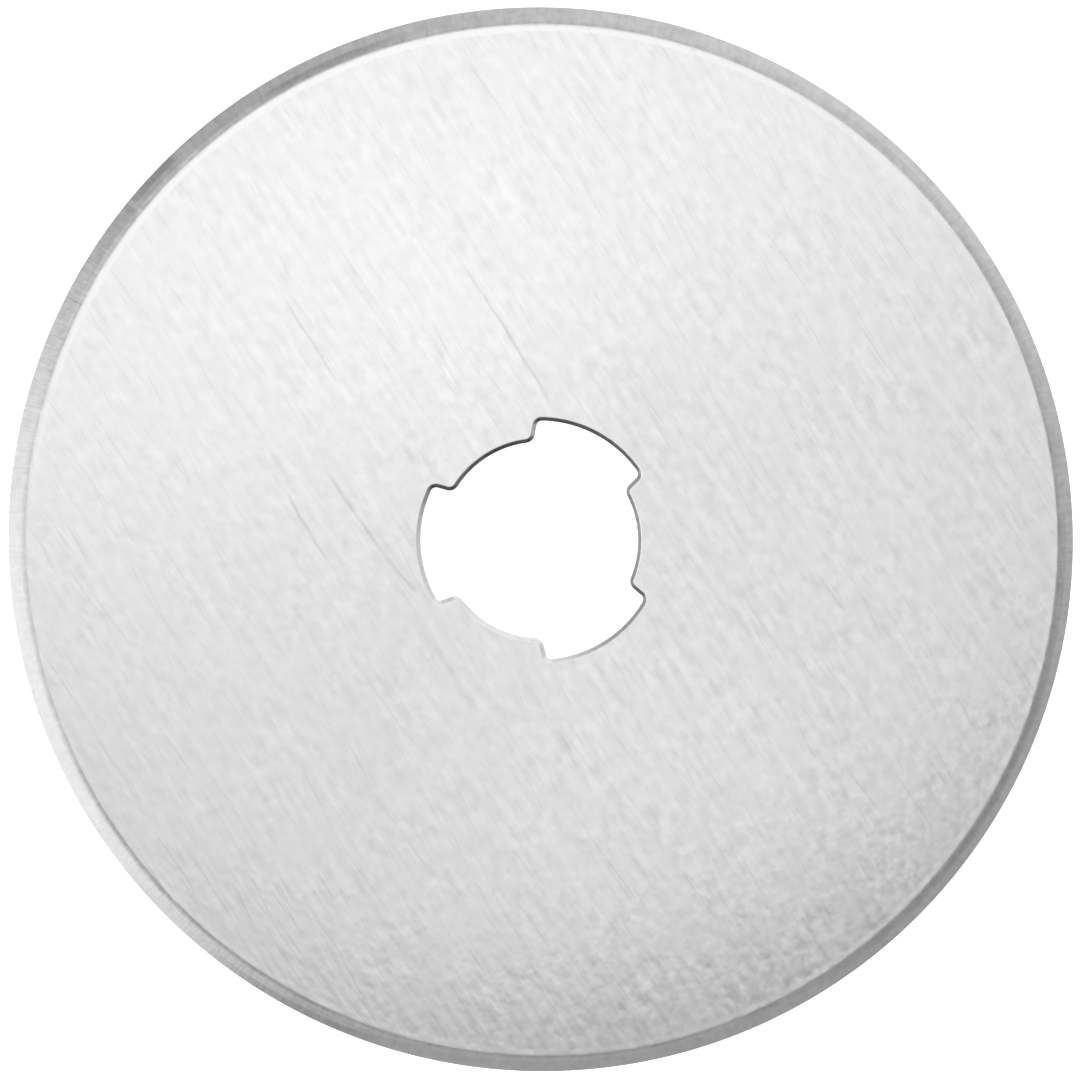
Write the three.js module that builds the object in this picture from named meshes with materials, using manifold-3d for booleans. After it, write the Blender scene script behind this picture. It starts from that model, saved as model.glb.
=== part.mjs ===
// Replacement blade for a hand-held rotary cutter: one ground steel disc, double bevelled to a round
// cutting edge, with a three-lobed hole that keys onto the cutter's hub.
//
// Millimetres, +Z up. The origin is the middle of the disc: on its turning axis, in the plane of the
// cutting edge. The disc lies flat, and a lobe of the hole points along -X.

import * as THREE from "three";
import { mergeVertices } from "three/addons/utils/BufferGeometryUtils.js";
import Module from "manifold-3d";

// ---- Driving dimensions ----

const BLADE_DIAMETER = 45;
const THICKNESS = 0.3;
const GRIND_WIDTH = 0.68; // from the flat face out to the cutting edge, the same on both sides
const SHOULDER_WIDTH = 0.2; // the first, shallower pass of the grind, next to the flat face
const SHOULDER_SLOPE = 9; // degrees; the second pass slopes more, to reach the edge in mid-thickness

const LOBES = 3;
const LOBE_RADIUS = 5.05; // from the disc's axis to the outer arcs of the hole
const NECK_RADIUS = 4.15; // from the disc's axis to the inner arcs, which centre the blade on its hub
const LOBE_SPAN = 60; // degrees between a lobe's two flanks, half-way up them
const FLANK_LEAN = 12; // degrees between a flank and the radius: a lobe narrows outwards
const LOBE_CORNER = 0.24; // fillet where a flank meets a lobe's arc
const NECK_CORNER = 0.42; // round where a flank meets a neck's arc
const ROLL_WIDTH = 0.16; // the edge that the punch draws in round the hole, on the upper face
const ROLL_DEPTH = 0.08;

const RIM_SEGMENTS = 360;
const ARC_DIVISIONS = 8; // three.js makes twice as many straight pieces of each arc

// ---- Values that follow ----

const BLADE_RADIUS = BLADE_DIAMETER / 2;
const HALF_THICKNESS = THICKNESS / 2;
const FACE_RADIUS = BLADE_RADIUS - GRIND_WIDTH;
const SHOULDER_RADIUS = FACE_RADIUS + SHOULDER_WIDTH;
const SHOULDER_HEIGHT =
  HALF_THICKNESS - SHOULDER_WIDTH * Math.tan(THREE.MathUtils.degToRad(SHOULDER_SLOPE));
const PILOT_RADIUS = 0.7 * NECK_RADIUS; // the blank's own hole, which the punched hole swallows
const TOOL_CLEARANCE = 1; // how far the punch reaches past each face

// ---- Solids ----

const wasm = await Module();
wasm.setup();

function solidFrom(geometry) {
  const bare = new THREE.BufferGeometry();
  bare.setAttribute("position", geometry.getAttribute("position"));
  bare.setIndex(geometry.index);
  const merged = mergeVertices(bare, 1e-5);
  return new wasm.Manifold(
    new wasm.Mesh({
      numProp: 3,
      vertProperties: new Float32Array(merged.attributes.position.array),
      triVerts: new Uint32Array(merged.index.array),
    }),
  );
}

function geometryFrom(solid) {
  const mesh = solid.getMesh();
  const geometry = new THREE.BufferGeometry();
  geometry.setAttribute("position", new THREE.BufferAttribute(mesh.vertProperties, 3));
  geometry.setIndex(new THREE.BufferAttribute(mesh.triVerts, 1));
  geometry.computeVertexNormals();
  return geometry;
}

// ---- The disc: a turned ring whose rim is ground to an edge from both sides ----

function groundDisc() {
  const profile = [
    [PILOT_RADIUS, -HALF_THICKNESS],
    [FACE_RADIUS, -HALF_THICKNESS],
    [SHOULDER_RADIUS, -SHOULDER_HEIGHT],
    [BLADE_RADIUS, 0],
    [SHOULDER_RADIUS, SHOULDER_HEIGHT],
    [FACE_RADIUS, HALF_THICKNESS],
    [PILOT_RADIUS, HALF_THICKNESS],
    [PILOT_RADIUS, -HALF_THICKNESS],
  ].map(([radius, height]) => new THREE.Vector2(radius, height));
  return new THREE.LatheGeometry(profile, RIM_SEGMENTS).rotateX(Math.PI / 2);
}

// ---- The hole: three lobes and three necks, joined by leaning flanks with rounded ends ----

// The centre of a circle that touches a flank from one side and a circle about the origin: it lies
// at distance reach from the origin, and at distance offset from the flank's line.
function tangentCentre(onFlank, along, across, offset, reach) {
  const start = onFlank.clone().addScaledVector(across, offset);
  const half = start.dot(along);
  const step = -half + Math.sqrt(half * half - start.lengthSq() + reach * reach);
  return start.addScaledVector(along, step);
}

// One flank, half a lobe's span to the side of the lobe's middle: side is -1 where the outline climbs
// out of a neck, and +1 where it drops into the next.
function flankOf(lobeAngle, side) {
  const angle = lobeAngle + (side * THREE.MathUtils.degToRad(LOBE_SPAN)) / 2;
  const lean = angle - side * THREE.MathUtils.degToRad(FLANK_LEAN);
  const halfWay = (LOBE_RADIUS + NECK_RADIUS) / 2;
  const origin = new THREE.Vector2();
  const onFlank = new THREE.Vector2(halfWay, 0).rotateAround(origin, angle);
  const along = new THREE.Vector2(1, 0).rotateAround(origin, lean);
  const intoLobe = new THREE.Vector2(0, -side).rotateAround(origin, lean);
  return {
    lobe: tangentCentre(onFlank, along, intoLobe, LOBE_CORNER, LOBE_RADIUS - LOBE_CORNER),
    neck: tangentCentre(onFlank, along, intoLobe, -NECK_CORNER, NECK_RADIUS + NECK_CORNER),
    towardsFlank: intoLobe.clone().negate().angle(),
    awayFromFlank: intoLobe.angle(),
  };
}

function hubHole() {
  const outline = new THREE.Shape();
  for (let i = 0; i < LOBES; i++) {
    const lobeAngle = ((2 * i + 1) * Math.PI) / LOBES;
    const nextAngle = lobeAngle + (2 * Math.PI) / LOBES;
    const up = flankOf(lobeAngle, -1);
    const down = flankOf(lobeAngle, 1);
    const next = flankOf(nextAngle, -1);
    const arc = (centre, radius, from, to, clockwise) =>
      outline.absarc(centre.x, centre.y, radius, from, to, clockwise);
    const axis = new THREE.Vector2();
    arc(up.lobe, LOBE_CORNER, up.towardsFlank, up.lobe.angle(), false);
    arc(axis, LOBE_RADIUS, up.lobe.angle(), down.lobe.angle(), false);
    arc(down.lobe, LOBE_CORNER, down.lobe.angle(), down.towardsFlank, false);
    arc(down.neck, NECK_CORNER, down.awayFromFlank, down.neck.angle() + Math.PI, true);
    arc(axis, NECK_RADIUS, down.neck.angle(), next.neck.angle(), false);
    arc(next.neck, NECK_CORNER, next.neck.angle() + Math.PI, next.awayFromFlank, true);
  }
  outline.closePath();
  return outline;
}

// The punch, and the flared ring that leaves the rolled edge on the upper face.
function punch() {
  const depth = THICKNESS + 2 * TOOL_CLEARANCE;
  return new THREE.ExtrudeGeometry(hubHole(), {
    depth,
    bevelEnabled: false,
    curveSegments: ARC_DIVISIONS,
  }).translate(0, 0, -depth / 2);
}

function rolledEdge() {
  return new THREE.ExtrudeGeometry(hubHole(), {
    depth: TOOL_CLEARANCE,
    bevelThickness: ROLL_DEPTH,
    bevelSize: ROLL_WIDTH,
    bevelSegments: 1,
    curveSegments: ARC_DIVISIONS,
  }).translate(0, 0, HALF_THICKNESS);
}

// ---- The part ----

function blade() {
  const steel = new THREE.MeshStandardMaterial({
    color: 0xd9dadb,
    roughness: 0.34,
    metalness: 1,
  });
  const solid = solidFrom(groundDisc())
    .subtract(solidFrom(punch()))
    .subtract(solidFrom(rolledEdge()));
  const mesh = new THREE.Mesh(geometryFrom(solid), steel);
  mesh.name = "blade";
  return mesh;
}

const part = new THREE.Group();
part.add(blade());

export default part;
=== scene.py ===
"""A rotary cutter's blade, lying on a white table and seen from almost straight above.

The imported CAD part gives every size. One finely meshed piece stands for its only node: a ground steel
disc with a brushed face, a bevel in two passes and a punched hole with a rolled edge.
The blade and its light are worked out in millimetres, and turned into the frame's metres where meshes and
lamps are made.
"""

import math

import bpy
from mathutils import Matrix, Vector


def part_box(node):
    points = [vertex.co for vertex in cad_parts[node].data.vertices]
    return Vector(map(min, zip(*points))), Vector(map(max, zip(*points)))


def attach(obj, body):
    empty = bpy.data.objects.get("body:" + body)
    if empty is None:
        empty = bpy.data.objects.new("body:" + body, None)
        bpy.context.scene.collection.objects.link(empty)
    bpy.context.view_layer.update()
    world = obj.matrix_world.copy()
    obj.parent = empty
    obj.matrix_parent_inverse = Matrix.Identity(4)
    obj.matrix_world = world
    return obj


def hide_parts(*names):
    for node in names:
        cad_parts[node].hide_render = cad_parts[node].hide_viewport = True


MM = 0.001
PAST_GRIND = "past_grind_start"  # a mesh attribute: how far outside the grind's start a point lies

# ---- The hole's outline, as the CAD cuts it; its radii come from the frame ----

LOBES = 3
LOBE_SPAN = math.radians(60)
FLANK_LEAN = math.radians(12)
LOBE_CORNER = 0.24
NECK_CORNER = 0.42

# ---- How finely the mesh follows the shape ----

ARC_STEP = math.radians(0.25)
CORNER_STEPS = 10
ROLL_STEPS = 6
ROUND_STEPS = 4
FACE_RINGS = 12
FACE_CROWDING = 1.6  # above 1, the face's rings lie closer together towards the hole
SHARP_BEND = math.radians(20)
SAME_HEIGHT = 0.01  # heights this close are the same, as a share of half the thickness

# ---- Small departures from the ideal shape ----

ROLL_ROUND = 0.03  # how far the bend between the roll and the face spreads to each side
GRIND_ROUND = 0.05  # the same for the bend where the grind starts
PASS_ROUND = 0.04  # and for the bend between its two passes
EDGE_BREAK = 0.012  # how far the hole's lower edge is broken
GRIND_EXCESS = 0.03  # how much wider the bevel is than its nominal width, as a share of it
RUN_OUT = 0.11  # how much its width swings once round the rim, as a share too
RUN_OUT_TOWARDS = math.radians(150)
WAVERS = (
    # waves round the rim, height as a share of the bevel's width, phase
    (7, 0.012, 1.3),
    (13, 0.009, 4.1),
)

# ---- The camera: its place round the blade's axis, in the frame's directions ----

PICTURE_TURN = math.radians(2.4)
CAMERA_DISTANCE = 1.04  # metres
CAMERA_LEAN = math.radians(5.2)
CAMERA_LEAN_TOWARDS = math.radians(48)
FRAME_WIDTH_PER_BLADE = 1.0125
SENSOR_WIDTH = 36

# ---- Looks: azimuths are in degrees from +X towards +Y ----

FINISHES = {
    # zone: tone, roughness, depth of its relief in millimetres
    "face": (0.935, 0.24, 0.007),
    "bevel": (0.92, 0.20, 0.0012),
    "roll": (0.85, 0.18, 0.003),
    "wall": (0.66, 0.42, 0.004),
}
STEEL_TINT = (0.998, 1.0, 1.002)
SIDE_SHIFT = 100  # moves the noise on one face far from the noise on the other
BRUSH_DIRECTION = -60
BRUSHING = (
    # length and width of the streaks, weight
    (0.75, 0.50, 0.66),
    (2.2, 0.30, 0.36),
    (8.0, 0.44, 0.32),
)
MOTTLE_SIZE = 0.42
MOTTLE_WEIGHT = 0.26
STRONG_GRAIN_SIDE = -45  # the grain's painted tone and its relief are stronger towards this side of the face, standing in for how the light brings out the grain there
GRAIN_STRENGTHS = (0.72, 1.15)  # from the far side to the strong side
HAIRS = (
    # length and width, turn away from the brushing, level of the noise where a hair begins
    (5.0, 0.15, 3, 0.22),
    (3.5, 0.14, -5, 0.24),
)
HAIR_FULL = 0.5  # level of the noise where a hair is at its deepest
OBLIQUE_FACING = (0.65, 0.92)  # cosines of the angle from the face's normal
OBLIQUE_ROUGHNESS = 0.20
SCRATCH_WIDTH = 0.12
SCRATCH_SWAY = (0.15, 0.09, 0.0)
SCRATCHES = (
    # middle, direction in degrees, length, depth of tone
    ((-1.0, 8.8), -60.2, 8.0, 0.17),
    ((-9.3, 8.8), -58.9, 4.6, 0.15),
    ((-9.8, 0.9), -60.2, 4.0, 0.14),
    ((-7.8, 1.5), -57.1, 4.4, 0.16),
    ((-6.2, -0.9), -54.5, 3.4, 0.17),
)
# Painted shade: a dark line where the grind starts, darker on one side, where the light falls that way.
# Painted highlight: a bright line just inside it.
GRIND_PAINTED_SHADE = (-0.05, 0.04, 0.2)  # where the painted shade line at the grind's start begins, is darkest and ends
PAINTED_SHADE_DEPTH = 0.16
PAINTED_SHADE_SIDE = 222  # the azimuth where that painted shade is darkest
PAINTED_SHADE_GAIN = 2.2
GRIND_PAINTED_HIGHLIGHT = (-0.34, -0.15, -0.03)  # the same for the painted highlight, a bright line just inside the painted shade
PAINTED_HIGHLIGHT_DEPTH = -0.08
PAINTED_HIGHLIGHT_SIDE = 285  # the painted highlight shows most on this side and the opposite one
PAINTED_HIGHLIGHT_GAINS = (0.2, 1.7)
MARK_FADE = 0.05
# Changes of tone on the bevel: the thin bright stripes are painted glints, the broad dark stretches at 36,
# 316 and 335 degrees are painted shade, and the rest are darker patches.
BEVEL_PATCHES_GLINTS_AND_SHADE = (
    # azimuth, half width round the rim, start and end past the grind's start, change of tone
    (138.2, 0.13, 0.08, 0.70, 0.50),
    (134.5, 2.20, 0.40, 0.66, -0.24),
    (130.3, 0.80, 0.05, 0.60, 0.14),
    (112.0, 4.50, 0.08, 0.34, -0.24),
    (36.0, 13.0, 0.12, 0.36, -0.09),
    (316.0, 15.0, 0.10, 0.26, -0.09),
    (335.0, 16.0, 0.08, 0.36, -0.14),
    (240.0, 5.00, 0.40, 0.66, -0.22),
)

# ---- Light: azimuths and tilts in degrees, where tilt is measured from straight up ----

STUDIO_FILL = 0.36
STUDIO_PANELS = (
    # azimuth, tilt, radius of full strength, radius of none, strength; the last two are dark cards
    (197, 35, 6, 24, 0.59),
    (57, 48, 4, 50, 0.315),
    (351, 53, 5, 16, 0.24),
    (140, 54, 6, 28, -0.13),
    (302, 56, 8, 28, -0.075),
)
BRIGHT_SIDE = 80
SIDE_GAIN = 0.36
SIDE_LIFT = 0.01
SIDE_TILTS = (34, 45)  # the bright and dark sides differ from the second tilt down, and not above the first
DARKEST = 0.02
SOFTBOXES = (
    # name, centre, size, turn in degrees, radiance; at different heights, so that neither hides the other
    ("overhead_softbox", (-6.6, 4.5, 60), (68.4, 58.6), 12.1, 0.414),
    ("strip_softbox", (-7.5, 13.3, 64), (74.0, 25.5), 18.6, 0.18),
)
CARD_RADIUS = 80
CARD_HEIGHT = 42
CARD_SEGMENTS = 96
CARD_GLOWS = (1.10, 0.20)  # at the foot and at the top
CARDS = 4
CARD_UNEVENNESS = 0.25
FIRST_CARD = 22.5
TABLE_REACH = 2.0  # metres
TABLE_TONE = 0.8
TABLE_ROUGHNESS = 0.9
TABLE_GLOW = 0.9


# ======== Directions ========


def polar(radius, angle):
    return Vector((radius * math.cos(angle), radius * math.sin(angle)))


def angle_of(vector):
    return math.atan2(vector.y, vector.x)


def tilt_height(tilt):
    """The height of a unit vector at a tilt, in degrees from straight up."""
    return math.cos(math.radians(tilt))


def direction(azimuth, tilt=90):
    """A unit vector: azimuth in degrees from +X towards +Y, tilt in degrees from straight up."""
    flat = polar(math.sin(math.radians(tilt)), math.radians(azimuth))
    return Vector((*flat, tilt_height(tilt)))


# ======== Sizes from the frame ========


def cad_sizes(blade):
    """The blade's radii and heights, in millimetres, read from the CAD node's vertices."""
    points = [v.co / MM for v in blade.data.vertices]
    rim = max(math.hypot(p.x, p.y) for p in points)
    top = max(p.z for p in points)
    near = top * SAME_HEIGHT
    upper = [math.hypot(p.x, p.y) for p in points if p.z > top - near]
    lower = [math.hypot(p.x, p.y) for p in points if p.z < near - top]
    shoulder = [p for p in points if max(upper) + near < math.hypot(p.x, p.y) < rim - near]
    roll = [p.z for p in points if near < p.z < top - near and math.hypot(p.x, p.y) < rim / 2]
    return {
        "rim": rim,
        "top": top,
        "neck": min(lower),
        "lobe": max(r for r in lower if r < rim / 2),
        "roll_width": min(upper) - min(lower),
        "roll_depth": top - min(roll),
        "face": max(upper),
        "shoulder": min(math.hypot(p.x, p.y) for p in shoulder),
        "shoulder_height": max(p.z for p in shoulder),
    }


# ======== The hole's outline ========


def arc_points(centre, radius, start, turn, steps):
    """Points on an arc with the unit vectors from its centre; the last point is left to the next arc."""
    angles = [start + turn * i / steps for i in range(steps)]
    return [(centre + polar(radius, a), polar(1, a)) for a in angles]


def turn_between(start, end):
    """The turn from one angle to another, taken the short way round."""
    return (end - start + math.pi) % (2 * math.pi) - math.pi


def flank(sizes, lobe_angle, side):
    """The corner centres at a flank's two ends and the direction across it into the lobe."""
    angle = lobe_angle + side * LOBE_SPAN / 2
    lean = angle - side * FLANK_LEAN
    half_way = polar((sizes["lobe"] + sizes["neck"]) / 2, angle)
    along = polar(1, lean)
    across = -side * Vector((-along.y, along.x))

    def touching(offset, reach):
        start = half_way + across * offset
        half = start.dot(along)
        return start + along * (-half + math.sqrt(half * half - start.length_squared + reach * reach))

    lobe_centre = touching(LOBE_CORNER, sizes["lobe"] - LOBE_CORNER)
    neck_centre = touching(-NECK_CORNER, sizes["neck"] + NECK_CORNER)
    return lobe_centre, neck_centre, across


def hole_outline(sizes):
    """The outline, counter-clockwise, as (point, unit normal into the steel)."""
    origin = Vector((0, 0))
    outline = []

    def add_arc(centre, radius, start, end, steps, steel_outside=True):
        turn = turn_between(start, end)
        for point, outward in arc_points(centre, radius, start, turn, steps):
            outline.append((point, outward if steel_outside else -outward))

    def big_arc(radius, start, end):
        steps = round(turn_between(start, end) / ARC_STEP)
        add_arc(origin, radius, start, end, steps)

    for i in range(LOBES):
        lobe_angle = (2 * i + 1) * math.pi / LOBES
        next_angle = lobe_angle + 2 * math.pi / LOBES
        up_lobe, _, up_across = flank(sizes, lobe_angle, -1)
        down_lobe, down_neck, down_across = flank(sizes, lobe_angle, 1)
        _, next_neck, next_across = flank(sizes, next_angle, -1)
        add_arc(up_lobe, LOBE_CORNER, angle_of(-up_across), angle_of(up_lobe), CORNER_STEPS)
        big_arc(sizes["lobe"], angle_of(up_lobe), angle_of(down_lobe))
        add_arc(down_lobe, LOBE_CORNER, angle_of(down_lobe), angle_of(-down_across), CORNER_STEPS)
        add_arc(down_neck, NECK_CORNER, angle_of(down_across), angle_of(-down_neck), CORNER_STEPS, False)
        big_arc(sizes["neck"], angle_of(down_neck), angle_of(next_neck))
        add_arc(next_neck, NECK_CORNER, angle_of(-next_neck), angle_of(next_across), CORNER_STEPS, False)
    return outline


# ======== The blade's rings, from the foot of the hole's wall round to the foot again ========


def rounded(radius, corner, bend, half_width):
    """How far a rounded corner lies below a sharp one; bend is the change of slope at it."""
    inside = max(0.0, half_width - abs(radius - corner))
    return bend * inside * inside / (4 * half_width)


def bevel_height(sizes, radius):
    """The upper surface's height over the edge's plane, with both passes of the grind eased in."""
    first = (sizes["top"] - sizes["shoulder_height"]) / (sizes["shoulder"] - sizes["face"])
    second = sizes["shoulder_height"] / (sizes["rim"] - sizes["shoulder"])
    height = sizes["top"]
    height -= first * max(0.0, min(radius, sizes["shoulder"]) - sizes["face"])
    height -= second * max(0.0, radius - sizes["shoulder"])
    height -= rounded(radius, sizes["face"], first, GRIND_ROUND)
    height -= rounded(radius, sizes["shoulder"], second - first, PASS_ROUND)
    return height


def steps_across(start, end, count):
    return [start + (end - start) * i / count for i in range(count + 1)]


def grind_radii(sizes):
    """Ring radii over the bevel: close together where it bends, and beside those places."""
    radii = [sizes["face"] - 2 * GRIND_ROUND]
    radii += steps_across(sizes["face"] - GRIND_ROUND, sizes["face"] + GRIND_ROUND, 2 * ROUND_STEPS)
    radii += steps_across(sizes["shoulder"] - PASS_ROUND, sizes["shoulder"] + PASS_ROUND, ROUND_STEPS)
    radii += steps_across(sizes["shoulder"] + 2 * PASS_ROUND, sizes["rim"], ROUND_STEPS)
    return radii


def grind_stretch(angle):
    """The bevel's width at an angle over its nominal one: the grind runs out of true, and wavers."""
    waver = sum(height * math.sin(waves * angle + phase) for waves, height, phase in WAVERS)
    return 1 + GRIND_EXCESS + RUN_OUT * math.cos(angle - RUN_OUT_TOWARDS) + waver


def roll_profile(sizes):
    """(inset, drop) across the edge that the punch drew in: a slope, eased into the flat face."""
    width = sizes["roll_width"]
    slope = sizes["roll_depth"] / width
    insets = [0.0] + steps_across(width - ROLL_ROUND, width + ROLL_ROUND, ROLL_STEPS)
    insets.append(width + 2 * ROLL_ROUND)
    return [(x, slope * max(0.0, width - x) + rounded(x, width, slope, ROLL_ROUND)) for x in insets]


def blade_rings(sizes, outline):
    """Rings as (zone, points, distance past the grind's start); a zone's faces follow its ring."""
    spokes = [(point, normal, angle_of(point)) for point, normal in outline]
    rim = sizes["rim"]
    top = sizes["top"]
    far_inside = sizes["face"] - sizes["lobe"]
    rings = []

    def around_hole(inset, height, zone):
        ring = [(*(point + normal * inset), height) for point, normal, _ in spokes]
        rings.append((zone, ring, -far_inside))

    def around_rim(radius, height, zone):
        ring = []
        for _, _, angle in spokes:
            stretched = rim - (rim - radius) * grind_stretch(angle)
            ring.append((*polar(stretched, angle), height))
        rings.append((zone, ring, radius - sizes["face"]))

    def across_face(hole_inset, height, shares):
        outer = grind_radii(sizes)[0]
        for share in shares:
            ring = []
            for point, normal, angle in spokes:
                start = point + normal * hole_inset
                end = polar(rim - (rim - outer) * grind_stretch(angle), angle)
                ring.append((*start.lerp(end, share), height))
            rings.append(("face", ring, (share - 1) * far_inside))

    shares = [(i / FACE_RINGS) ** FACE_CROWDING for i in range(1, FACE_RINGS)]
    profile = roll_profile(sizes)
    bevel = grind_radii(sizes)

    around_hole(0, EDGE_BREAK - top, "wall")
    for inset, drop in profile:
        around_hole(inset, top - drop, "roll" if drop > 0 else "face")
    across_face(profile[-1][0], top, shares)
    for radius in bevel:
        around_rim(radius, bevel_height(sizes, radius), "bevel" if radius >= sizes["face"] else "face")
    for radius in reversed(bevel[:-1]):
        around_rim(radius, -bevel_height(sizes, radius), "bevel" if radius > sizes["face"] else "face")
    across_face(EDGE_BREAK, -top, reversed(shares))
    around_hole(EDGE_BREAK, -top, "wall")
    return rings


def build_blade(sizes, materials):
    """One closed mesh: each ring is joined to the next, and the last to the first."""
    rings = blade_rings(sizes, hole_outline(sizes))
    count = len(rings[0][1])
    points = [Vector(p) * MM for _, ring, _ in rings for p in ring]
    zones = list(materials)
    faces = []
    face_zones = []
    for k, (zone, _, _) in enumerate(rings):
        here = k * count
        there = (k + 1) % len(rings) * count
        for i in range(count):
            j = (i + 1) % count
            faces.append((here + i, there + i, there + j, here + j))
            face_zones.append(zones.index(zone))
    mesh = bpy.data.meshes.new("blade_steel")
    mesh.from_pydata(points, [], faces)
    for zone in zones:
        mesh.materials.append(materials[zone])
    mesh.polygons.foreach_set("material_index", face_zones)
    mesh.update()
    mesh.shade_smooth()
    # The cutting edge and the edges of the hole's wall stay crisp; every other bend is rounded in the mesh.
    mesh.set_sharp_from_angle(angle=SHARP_BEND)
    past_grind = mesh.attributes.new(PAST_GRIND, "FLOAT", "POINT")
    past_grind.data.foreach_set("value", [past for _, ring, past in rings for _ in ring])
    blade = bpy.data.objects.new("ground_blade", mesh)
    bpy.context.scene.collection.objects.link(blade)
    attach(blade, "root")
    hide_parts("blade")


# ======== Node helpers ========


class Nodes:
    """A short way to add shader nodes: a value is a number, a tuple or another node's output."""

    def __init__(self, tree):
        self.tree = tree

    def add(self, kind, inputs=None, **settings):
        node = self.tree.nodes.new(kind)
        for key, value in settings.items():
            setattr(node, key, value)
        for key, value in (inputs or {}).items():
            self.feed(node.inputs[key], value)
        return node

    def feed(self, socket, value):
        if isinstance(value, bpy.types.NodeSocket):
            self.tree.links.new(value, socket)
        else:
            socket.default_value = value

    def maths(self, operation, *values):
        node = self.add("ShaderNodeMath", operation=operation)
        for socket, value in zip(node.inputs, values):
            self.feed(socket, value)
        return node.outputs[0]

    def product(self, first, *others):
        for other in others:
            first = self.maths("MULTIPLY", first, other)
        return first

    def total(self, *terms):
        """The sum of (value, weight) pairs."""
        result = 0.0
        for value, weight in terms:
            result = self.maths("MULTIPLY_ADD", value, weight, result)
        return result

    def vector(self, operation, *values):
        node = self.add("ShaderNodeVectorMath", operation=operation)
        names = ("Vector", "Scale") if operation == "SCALE" else range(len(values))
        for name, value in zip(names, values):
            self.feed(node.inputs[name], value)
        return node.outputs["Value" if operation in ("DOT_PRODUCT", "LENGTH") else "Vector"]

    def towards(self, vector, azimuth, tilt=90):
        """How far a vector reaches in a direction."""
        return self.vector("DOT_PRODUCT", vector, tuple(direction(azimuth, tilt)))

    def height(self, vector):
        return self.vector("DOT_PRODUCT", vector, (0, 0, 1))

    def ramp(self, value, low, high, to_low=0.0, to_high=1.0):
        """A smooth step from to_low to to_high as value goes from low to high."""
        inputs = {
            "Value": value,
            "From Min": low,
            "From Max": high,
            "To Min": to_low,
            "To Max": to_high,
        }
        return self.add("ShaderNodeMapRange", inputs, interpolation_type="SMOOTHSTEP").outputs["Result"]

    def band(self, value, start, middle, end):
        """1 at middle, falling smoothly to 0 at start and end."""
        rise = self.ramp(value, start, middle)
        fall = self.ramp(value, middle, end)
        return self.maths("SUBTRACT", rise, fall)

    def noise(self, vector, scale, detail=2.0):
        """Smooth noise from about -1 to 1."""
        inputs = {"Vector": vector, "Scale": scale, "Detail": detail}
        fac = self.add("ShaderNodeTexNoise", inputs).outputs[0]
        return self.maths("MULTIPLY_ADD", fac, 2.0, -1.0)

    def bump(self, height, depth):
        """The normal that a relief gives; depth in millimetres for a height of 1."""
        inputs = {"Height": height, "Strength": 1.0, "Distance": depth * MM}
        return self.add("ShaderNodeBump", inputs).outputs[0]

    def grey(self, value):
        return self.add("ShaderNodeCombineColor", {k: value for k in ("Red", "Green", "Blue")}).outputs[0]

    def millimetres(self):
        place = self.add("ShaderNodeTexCoord").outputs["Object"]
        return self.vector("MULTIPLY", place, (1 / MM,) * 3)

    def past_grind(self):
        return self.add("ShaderNodeAttribute", attribute_name=PAST_GRIND).outputs["Fac"]

    def finish(self, kind, inputs):
        """Adds the shader that the material shows."""
        shader = self.add(kind, inputs)
        self.add("ShaderNodeOutputMaterial", {"Surface": shader.outputs[0]})


def new_material(name):
    material = bpy.data.materials.new(name)
    material.use_nodes = True
    material.node_tree.nodes.clear()
    return material, Nodes(material.node_tree)


# ======== Patterns, painted shade and painted highlights on the steel; place is in millimetres ===


def upper_side(nodes, place):
    """1 on the blade's upper half and 0 on the lower."""
    return nodes.maths("GREATER_THAN", nodes.height(place), 0.0)


def streaks(nodes, place, length, width, turn=0):
    """Noise drawn out along the brushing, turned by a few degrees; length and width in millimetres."""
    inputs = {
        "Vector": place,
        "Rotation": (0, 0, math.radians(BRUSH_DIRECTION + turn)),
        "Scale": (length, width, 1 / SIDE_SHIFT),
    }
    mapped = nodes.add("ShaderNodeMapping", inputs, vector_type="TEXTURE").outputs[0]
    return nodes.noise(mapped, 1.0, detail=1.0)


def rim_noise(nodes, place, rim, along, across, detail=1.0):
    """Noise that follows the rim; along and across are the grain's sizes in millimetres."""
    flat = nodes.vector("MULTIPLY", place, (1, 1, 0))
    ring = nodes.vector("SCALE", nodes.vector("NORMALIZE", flat), rim / along)
    side = nodes.maths("MULTIPLY", upper_side(nodes, place), SIDE_SHIFT)
    level = nodes.maths("MULTIPLY_ADD", nodes.vector("LENGTH", flat), 1 / across, side)
    lifted = nodes.add("ShaderNodeCombineXYZ", {"Z": level}).outputs[0]
    return nodes.noise(nodes.vector("ADD", ring, lifted), 1.0, detail)


def grind_painted_shade_and_highlight(nodes, place, rim):
    """Painted shade along the grind's start, darkest on one side, less a painted highlight just inside it,
    brightest on two opposite sides.
    """
    past = nodes.past_grind()
    rimward = nodes.vector("NORMALIZE", place)
    gain = nodes.ramp(nodes.towards(rimward, PAINTED_SHADE_SIDE), 0.86, 1.0, 1.0, PAINTED_SHADE_GAIN)
    breaks = nodes.ramp(rim_noise(nodes, place, rim, along=1.4, across=5.0), -0.4, 0.3, 0.6, 1.0)
    line = nodes.product(nodes.band(past, *GRIND_PAINTED_SHADE), gain, breaks)
    sideways = nodes.maths("ABSOLUTE", nodes.towards(rimward, PAINTED_HIGHLIGHT_SIDE))
    painted_highlight = nodes.product(nodes.band(past, *GRIND_PAINTED_HIGHLIGHT), nodes.ramp(sideways, 0.25, 1.0, *PAINTED_HIGHLIGHT_GAINS))
    return nodes.total((line, PAINTED_SHADE_DEPTH), (painted_highlight, PAINTED_HIGHLIGHT_DEPTH))


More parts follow.
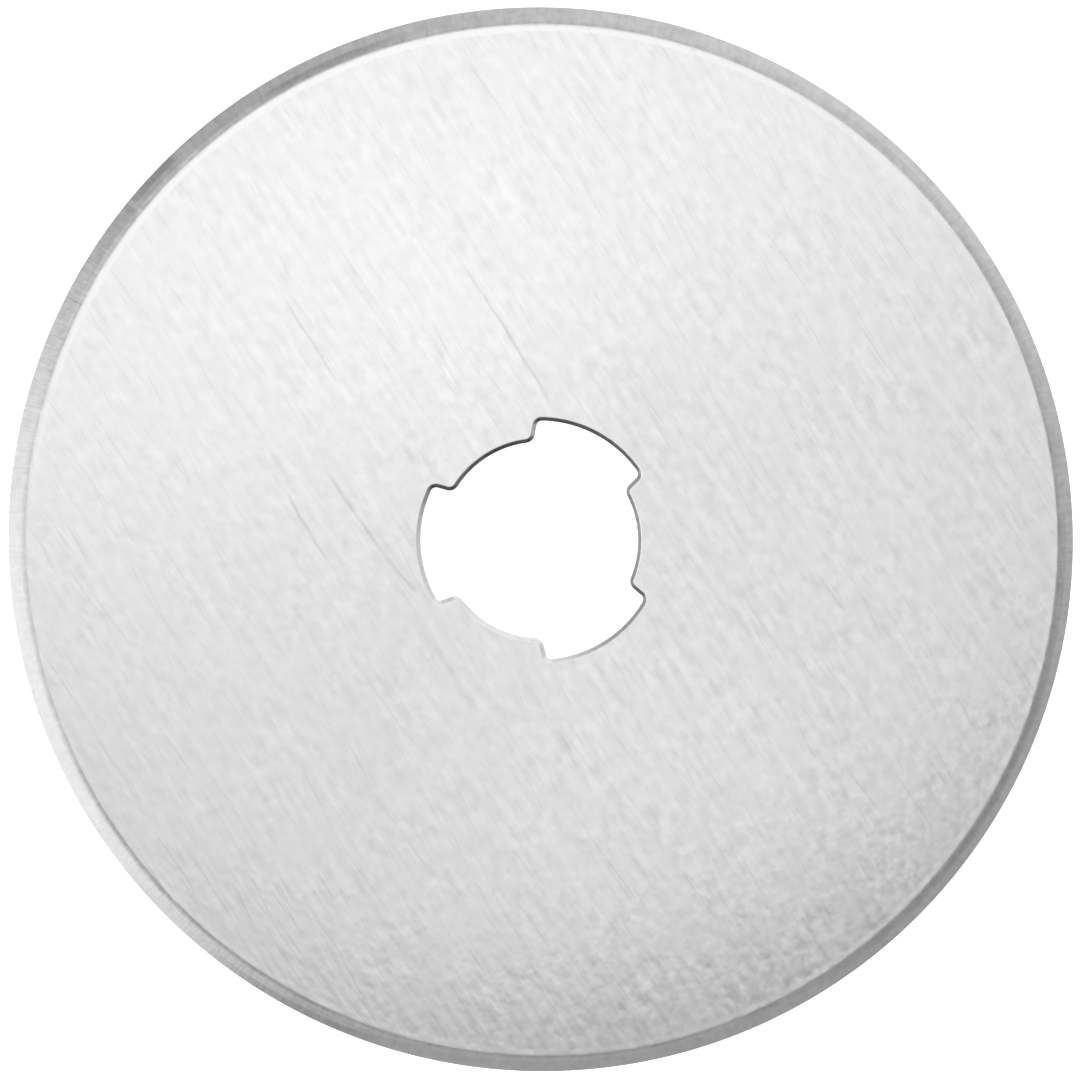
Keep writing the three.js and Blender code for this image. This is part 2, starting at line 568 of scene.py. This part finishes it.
def scratch(nodes, place, middle, turn, length):
    """1 along one straight scratch, fading towards its ends."""
    offset = nodes.vector("SUBTRACT", place, (*middle, 0))
    along = nodes.maths("ABSOLUTE", nodes.towards(offset, turn))
    across = nodes.maths("ABSOLUTE", nodes.towards(offset, turn + 90))
    line = nodes.ramp(across, SCRATCH_WIDTH, 0.0)
    reach = nodes.ramp(along, length / 2, length / 4)
    return nodes.product(line, reach)


def face_scratches(nodes, place):
    """The long scratches on the upper face, waving a little and uneven in depth."""
    sway = nodes.noise(place, 0.5, detail=1.0)
    swayed = nodes.vector("ADD", place, nodes.vector("SCALE", SCRATCH_SWAY, sway))
    depth = nodes.ramp(nodes.noise(place, 1.2, detail=1.0), -0.5, 0.1, 0.5, 1.0)
    each = [(scratch(nodes, swayed, middle, turn, length), tone) for middle, turn, length, tone in SCRATCHES]
    return nodes.product(nodes.total(*each), depth, upper_side(nodes, place))


def hair_scratches(nodes, place):
    """Many fine scratches, left by the coarsest grains of the brush, at two slight angles."""
    levels = [(streaks(nodes, place, length, width, turn), start) for length, width, turn, start in HAIRS]
    return nodes.maths("MAXIMUM", *[nodes.ramp(level, start, HAIR_FULL) for level, start in levels])


def brushing_relief(nodes, place, rim):
    """The brushed grain: streaks of three sizes in one direction, patchy, and stronger towards one side,
    where its painted contrast stands in for how the light brings it out there.
    """
    grains = [(streaks(nodes, place, length, width), weight) for length, width, weight in BRUSHING]
    mottle = nodes.noise(place, 1 / MOTTLE_SIZE, detail=1.0)
    patches = nodes.ramp(nodes.noise(place, 0.45), -0.5, 0.5, 0.6, 1.4)
    grain_strength = nodes.ramp(nodes.towards(place, STRONG_GRAIN_SIDE), -rim, rim, *GRAIN_STRENGTHS)
    return nodes.product(nodes.total(*grains, (mottle, MOTTLE_WEIGHT)), patches, grain_strength)


def oblique_roughness(nodes):
    """How much rougher the brushed face looks when it is seen from the side."""
    geometry = nodes.add("ShaderNodeNewGeometry")
    facing = nodes.vector("DOT_PRODUCT", geometry.outputs["Incoming"], geometry.outputs["Normal"])
    return nodes.ramp(facing, *OBLIQUE_FACING, OBLIQUE_ROUGHNESS, 0.0)


def bevel_patches_glints_and_shade(nodes, place):
    """Changes of tone across the bevel: darker patches, thin painted glints and broad stretches of painted
    shade round the rim.
    """
    past = nodes.past_grind()
    patches_glints_and_shade = []
    for azimuth, width, start, end, tone in BEVEL_PATCHES_GLINTS_AND_SHADE:
        aside = nodes.maths("ABSOLUTE", nodes.towards(place, azimuth + 90))
        stripe = nodes.ramp(aside, width, width / 4)
        begun = nodes.ramp(past, start - MARK_FADE, start + MARK_FADE)
        ended = nodes.ramp(past, end + MARK_FADE, end - MARK_FADE)
        this_side = nodes.maths("GREATER_THAN", nodes.towards(place, azimuth), 0.0)
        patches_glints_and_shade.append((nodes.product(stripe, begun, ended, this_side), tone))
    return nodes.product(nodes.total(*patches_glints_and_shade), upper_side(nodes, place))


# ======== Materials: tones, roughening and relief are (value, weight) pairs ========


def steel(nodes, zone, tones, roughening, relief, extra=None):
    """Neutral grey metal, very slightly cool, with a zone's own finish and the patterns on it."""
    tone, roughness, depth = FINISHES[zone]
    shade = nodes.total(*tones, (1.0, tone))
    inputs = {
        "Base Color": nodes.vector("MULTIPLY", nodes.grey(shade), STEEL_TINT),
        "Metallic": 1.0,
        "Roughness": nodes.total(*roughening, (1.0, roughness)),
        "Normal": nodes.bump(nodes.total(*relief), depth),
    }
    inputs.update(extra or {})
    nodes.finish("ShaderNodeBsdfPrincipled", inputs)


def face_material(rim):
    material, nodes = new_material("brushed_face")
    place = nodes.millimetres()
    brushing = brushing_relief(nodes, place, rim)
    cloud = nodes.noise(place, 0.25, detail=3.0)
    hairs = hair_scratches(nodes, place)
    cuts = face_scratches(nodes, place)
    # Painted shade along the grind's start, less a painted highlight just inside it.
    line = grind_painted_shade_and_highlight(nodes, place, rim)
    tones = ((brushing, 0.17), (cloud, 0.02), (hairs, -0.05), (cuts, -1.0), (line, -1.0))
    roughening = ((brushing, 0.05), (cloud, 0.02), (hairs, 0.03), (oblique_roughness(nodes), 1.0))
    relief = ((brushing, 1.0), (hairs, -0.10), (cuts, -2.0))
    anisotropy = {"Anisotropic": 0.5, "Tangent": tuple(direction(BRUSH_DIRECTION + 90))}
    steel(nodes, "face", tones, roughening, relief, anisotropy)
    return material


def bevel_material(rim):
    material, nodes = new_material("ground_bevel")
    place = nodes.millimetres()
    patches = rim_noise(nodes, place, rim, along=1.2, across=0.5, detail=2.0)
    spots = rim_noise(nodes, place, rim, along=0.32, across=0.26)
    ticks = rim_noise(nodes, place, rim, along=0.12, across=1.2)
    # The bevel's darker patches, painted glints and broad stretches of painted shade.
    patches_glints_and_shade = bevel_patches_glints_and_shade(nodes, place)
    # Painted shade along the grind's start, less a painted highlight just inside it.
    line = grind_painted_shade_and_highlight(nodes, place, rim)
    tones = ((patches, 0.10), (spots, 0.12), (ticks, 0.06), (patches_glints_and_shade, 1.0), (line, -1.0))
    steel(nodes, "bevel", tones, ((spots, 0.04), (ticks, 0.03)), ((ticks, 1.0), (spots, 1.0)))
    return material


def roll_material():
    """The edge that the punch drew in: smooth, with a few soft dents."""
    material, nodes = new_material("rolled_edge")
    dents = nodes.noise(nodes.millimetres(), 4.0, detail=3.0)
    steel(nodes, "roll", ((dents, 0.12),), ((dents, 0.05),), ((dents, 1.0),))
    return material


def wall_material():
    """The punched wall: fine lines down through the thickness, rougher and duller than the face."""
    material, nodes = new_material("punched_wall")
    place = nodes.millimetres()
    drawn_out = nodes.vector("MULTIPLY", place, (1, 1, 0.15))
    lines = nodes.noise(drawn_out, 12.0)
    spots = nodes.noise(place, 3.0)
    steel(nodes, "wall", ((lines, 0.10), (spots, 0.06)), ((lines, 0.08),), ((lines, 1.0),))
    return material


def card_material():
    """Glowing card: brightest at its foot, and in the middle of each of the cards in the ring."""
    material, nodes = new_material("lit_card")
    place = nodes.millimetres()
    azimuth = nodes.maths("ARCTAN2", nodes.towards(place, 90), nodes.towards(place, 0))
    phase = nodes.maths("MULTIPLY_ADD", azimuth, CARDS, -CARDS * math.radians(FIRST_CARD))
    unevenness = nodes.total((nodes.maths("COSINE", phase), CARD_UNEVENNESS), (1.0, 1.0))
    glow = nodes.product(nodes.ramp(nodes.height(place), 0.0, CARD_HEIGHT, *CARD_GLOWS), unevenness)
    nodes.finish("ShaderNodeEmission", {"Color": nodes.grey(glow), "Strength": 1.0})
    return material


def table_material():
    material, nodes = new_material("white_table")
    inputs = {
        "Base Color": (TABLE_TONE, TABLE_TONE, TABLE_TONE, 1.0),
        "Roughness": TABLE_ROUGHNESS,
        "Emission Color": (1.0, 1.0, 1.0, 1.0),
        "Emission Strength": TABLE_GLOW,
    }
    nodes.finish("ShaderNodeBsdfPrincipled", inputs)
    return material


# ======== Stage, light and camera ========


def build_world():
    """A light tent: dim round the camera, with soft panels, and dark low down on one side."""
    world = bpy.data.worlds.new("studio")
    world.use_nodes = True
    world.node_tree.nodes.clear()
    nodes = Nodes(world.node_tree)
    sky = nodes.add("ShaderNodeTexCoord").outputs["Generated"]
    side = nodes.total((nodes.towards(sky, BRIGHT_SIDE), SIDE_GAIN), (1.0, SIDE_LIFT))
    none_above, full_below = (tilt_height(tilt) for tilt in SIDE_TILTS)
    low_down = nodes.ramp(nodes.height(sky), full_below, none_above, 1.0, 0.0)
    light = nodes.maths("MULTIPLY_ADD", side, low_down, STUDIO_FILL)
    for azimuth, tilt, full, none, strength in STUDIO_PANELS:
        nearness = nodes.towards(sky, azimuth, tilt)
        patch = nodes.ramp(nearness, tilt_height(none), tilt_height(full), 0.0, strength)
        light = nodes.maths("ADD", light, patch)
    light = nodes.maths("MAXIMUM", light, DARKEST)
    # The camera itself sees plain white beyond the table.
    seen = nodes.add("ShaderNodeLightPath").outputs["Is Camera Ray"]
    shown = nodes.ramp(seen, 0.0, 1.0, light, 1.0)
    background = nodes.add("ShaderNodeBackground", {"Color": nodes.grey(shown), "Strength": 1.0})
    nodes.add("ShaderNodeOutputWorld", {"Surface": background.outputs[0]})
    bpy.context.scene.world = world


def build_softboxes():
    """Elliptical panels just above the blade, near enough for their light to fall off across it."""
    for name, centre, size, turn, radiance in SOFTBOXES:
        light = bpy.data.lights.new(name, "AREA")
        light.shape = "ELLIPSE"
        light.size, light.size_y = (length * MM for length in size)
        area = math.pi / 4 * light.size * light.size_y
        light.energy = radiance * math.pi * area
        lamp = bpy.data.objects.new(name, light)
        lamp.location = Vector(centre) * MM
        lamp.rotation_euler = (0, 0, math.radians(turn))
        lamp.visible_camera = False
        bpy.context.scene.collection.objects.link(lamp)


def stage_piece(name, points, faces, material):
    """A piece of the studio, which isn't part of the object."""
    mesh = bpy.data.meshes.new(name)
    mesh.from_pydata(points, [], faces)
    mesh.materials.append(material)
    piece = bpy.data.objects.new(name, mesh)
    bpy.context.scene.collection.objects.link(piece)
    return piece


def build_card_ring(bottom):
    """A low ring of white cards round the blade: what its face mirrors when it is seen from the side."""
    foot = [polar(CARD_RADIUS, math.tau * i / CARD_SEGMENTS) * MM for i in range(CARD_SEGMENTS)]
    points = [(*p, bottom) for p in foot] + [(*p, bottom + CARD_HEIGHT * MM) for p in foot]
    faces = []
    for i in range(CARD_SEGMENTS):
        j = (i + 1) % CARD_SEGMENTS
        faces.append((i, j, CARD_SEGMENTS + j, CARD_SEGMENTS + i))
    ring = stage_piece("card_ring", points, faces, card_material())
    ring.visible_camera = False
    ring.visible_shadow = False
    ring.visible_diffuse = False


def build_table(bottom):
    """A backlit white table top, which stays white round the blade and in its hole."""
    corners = [(x * TABLE_REACH, y * TABLE_REACH, bottom) for x, y in ((-1, -1), (1, -1), (1, 1), (-1, 1))]
    stage_piece("table_top", corners, [(0, 1, 2, 3)], table_material())


def build_camera(rim):
    camera = bpy.data.cameras.new("camera")
    camera.sensor_width = SENSOR_WIDTH
    frame_width = 2 * rim * MM * FRAME_WIDTH_PER_BLADE
    camera.lens = SENSOR_WIDTH * CAMERA_DISTANCE / frame_width
    camera.clip_start = CAMERA_DISTANCE / 10
    camera.clip_end = CAMERA_DISTANCE * 10
    # The picture's upward direction is the frame's +Y, turned clockwise by PICTURE_TURN.
    back = direction(math.degrees(CAMERA_LEAN_TOWARDS - PICTURE_TURN), math.degrees(CAMERA_LEAN))
    up = Vector((math.sin(PICTURE_TURN), math.cos(PICTURE_TURN), 0))
    right = up.cross(back).normalized()
    rig = bpy.data.objects.new("camera", camera)
    rig.location = back * CAMERA_DISTANCE
    rig.rotation_mode = "QUATERNION"
    rig.rotation_quaternion = Matrix((right, back.cross(right), back)).transposed().to_quaternion()
    bpy.context.scene.collection.objects.link(rig)
    bpy.context.scene.camera = rig


# ======== The scene ========

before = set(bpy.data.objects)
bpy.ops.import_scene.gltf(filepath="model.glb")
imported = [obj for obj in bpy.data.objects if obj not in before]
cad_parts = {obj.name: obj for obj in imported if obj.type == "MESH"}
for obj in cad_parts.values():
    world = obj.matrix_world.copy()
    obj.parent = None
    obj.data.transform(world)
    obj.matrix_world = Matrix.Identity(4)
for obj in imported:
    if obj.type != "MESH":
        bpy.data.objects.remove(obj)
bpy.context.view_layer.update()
sizes = cad_sizes(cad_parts["blade"])
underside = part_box("blade")[0].z
materials = {
    "face": face_material(sizes["rim"]),
    "bevel": bevel_material(sizes["rim"]),
    "roll": roll_material(),
    "wall": wall_material(),
}
build_blade(sizes, materials)
build_world()
build_softboxes()
build_table(underside)
build_card_ring(underside)
build_camera(sizes["rim"])
bpy.context.scene.view_settings.view_transform = "Standard"
